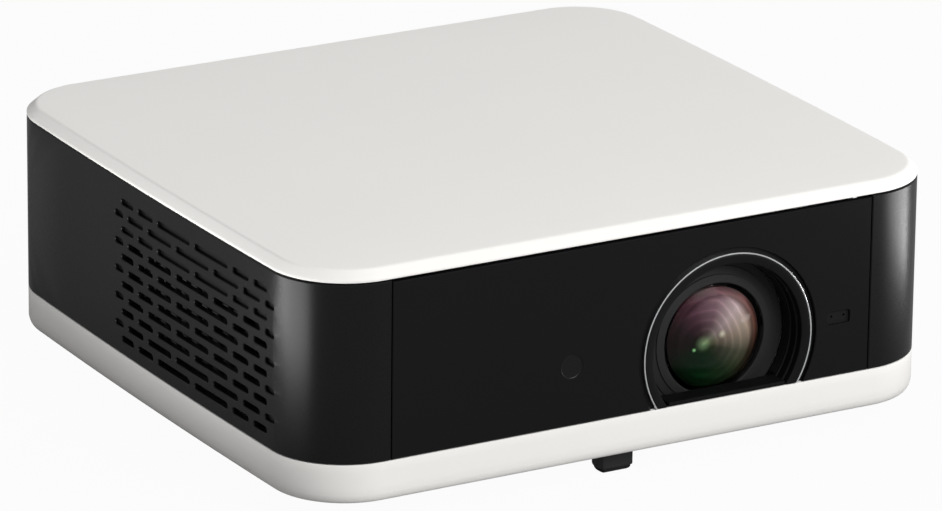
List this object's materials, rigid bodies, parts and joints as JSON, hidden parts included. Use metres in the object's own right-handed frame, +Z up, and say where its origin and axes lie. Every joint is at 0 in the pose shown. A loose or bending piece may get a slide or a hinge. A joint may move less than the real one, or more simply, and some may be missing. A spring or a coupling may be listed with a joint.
{
  "type": "home projector",
  "caption": "Flat square home projector with an offset front lens, vented black side bands, a pale cover and tray, rear ports and an adjustable front foot.",
  "frame": {"origin": "under the middle of the body, on the surface that the feet stand on", "axes": "+Z up, the lens looks along -Y, +X to the right seen from the front"},
  "size_m": [0.264, 0.2426, 0.0977],
  "materials": {
    "warm_white_shell": "fine satin grain",
    "satin_black_band": "satin",
    "front_fascia": "smooth, low gloss",
    "rear_fascia": "fine grain",
    "bright_trim": "polished edge",
    "dark_recess": "matt",
    "grey_bezel": "matt",
    "dark_window": "gloss",
    "window_insert": "smooth",
    "circuit_board": "green lacquer",
    "barrel_black": "matt",
    "coated_glass": "anti-reflection coated",
    "gear_plastic": "moulded",
    "pinion_plastic": "moulded",
    "motor_can": "plated",
    "cast_engine": "cast, grey",
    "prism_glass": "polished",
    "image_panel": "mirror-like",
    "lamp_block": "machined",
    "fin_aluminium": "stamped",
    "copper_pipe": "copper, sintered",
    "fan_plastic": "moulded",
    "rotor_plastic": "moulded",
    "filter_foam": "open foam",
    "speaker_case": "moulded",
    "speaker_paper": "black cone",
    "board_parts": "moulded packages",
    "power_board": "tan laminate",
    "socket_metal": "tinned",
    "socket_plastic": "moulded",
    "button_plastic": "satin",
    "light_pipe": "clear moulded",
    "foot_plastic": "satin",
    "foot_rubber": "matt",
    "brass_insert": "turned",
    "steel_screw": "zinc plated"
  },
  "bodies": {
    "housing": {"base_tray": "warm_white_shell", "top_cover": "warm_white_shell", "side_band_left": "satin_black_band", "side_band_right": "satin_black_band", "front_panel": "front_fascia", "rear_panel": "rear_fascia", "lens_trim_ring": "bright_trim", "lens_recess": "dark_recess", "lens_bezel": "grey_bezel", "sensor_window": "dark_window", "rangefinder_window": "window_insert", "camera_module": "circuit_board", "rangefinder_module": "circuit_board", "main_board": "circuit_board", "lens_barrel": "barrel_black", "front_lens": "coated_glass", "rear_lens": "coated_glass", "focus_motor": "motor_can", "engine_housing": "cast_engine", "engine_lid": "cast_engine", "prism_block": "prism_glass", "image_panels": "image_panel", "light_source": "lamp_block", "heat_sink": "fin_aluminium", "heat_pipes": "copper_pipe", "intake_fan_frame": "fan_plastic", "exhaust_fan_frame": "fan_plastic", "air_filter": "filter_foam", "speaker_box_left": "speaker_case", "speaker_box_right": "speaker_case", "speaker_cone_left": "speaker_paper", "speaker_cone_right": "speaker_paper", "main_board_parts": "board_parts", "power_board_parts": "board_parts", "power_board": "power_board", "hdmi_socket": "socket_metal", "usb_socket": "socket_metal", "audio_jack": "socket_plastic", "power_inlet": "socket_plastic", "status_light": "light_pipe", "front_foot_guide": "foot_plastic", "rear_foot_left": "foot_rubber", "rear_foot_right": "foot_rubber", "ceiling_inserts": "brass_insert", "tripod_insert": "brass_insert", "case_screws": "steel_screw", "board_screws": "steel_screw", "lid_screws": "steel_screw"},
    "focus_ring_gear": {"focus_ring": "gear_plastic"},
    "focus_carriage": {"focus_cell": "barrel_black", "focus_lens": "coated_glass"},
    "focus_drive": {"focus_pinion": "pinion_plastic"},
    "intake_rotor": {"intake_fan_rotor": "rotor_plastic"},
    "exhaust_rotor": {"exhaust_fan_rotor": "rotor_plastic"},
    "front_foot": {"front_foot_post": "foot_plastic", "front_foot_pad": "foot_rubber"},
    "power_key": {"power_button": "button_plastic"}
  },
  "joints": [
    {"name": "focus_ring_turn", "type": "hinge", "parent": "housing", "child": "focus_ring_gear", "pos_m": [0.039, -0.08275, 0.0448], "axis": [0, 1, 0], "range_deg": [0, 75]},
    {"name": "focus_slide", "type": "slide", "parent": "housing", "child": "focus_carriage", "axis": [0, 1, 0], "range_m": [0, 0.005]},
    {"name": "focus_pinion_turn", "type": "hinge", "parent": "housing", "child": "focus_drive", "pos_m": [0.06593, -0.08275, 0.06739], "axis": [0, 1, 0], "range_deg": [-300, 0]},
    {"name": "intake_fan_spin", "type": "hinge", "parent": "housing", "child": "intake_rotor", "pos_m": [-0.1158, -0.0346, 0.0582], "axis": [1, 0, 0], "continuous": true},
    {"name": "exhaust_fan_spin", "type": "hinge", "parent": "housing", "child": "exhaust_rotor", "pos_m": [0.1158, -0.0346, 0.0582], "axis": [1, 0, 0], "continuous": true},
    {"name": "front_foot_slide", "type": "slide", "parent": "housing", "child": "front_foot", "axis": [0, 0, -1], "range_m": [0, 0.008]},
    {"name": "power_key_press", "type": "slide", "parent": "housing", "child": "power_key", "axis": [0, -1, 0], "range_m": [0, 0.001], "stiffness_N_per_m": 400}
  ],
  "couplings": [
    {"joint": "focus_slide", "follows": "focus_ring_turn", "m_per_rad": 0.0038196},
    {"joint": "focus_pinion_turn", "follows": "focus_ring_turn", "ratio": -4}
  ]
}
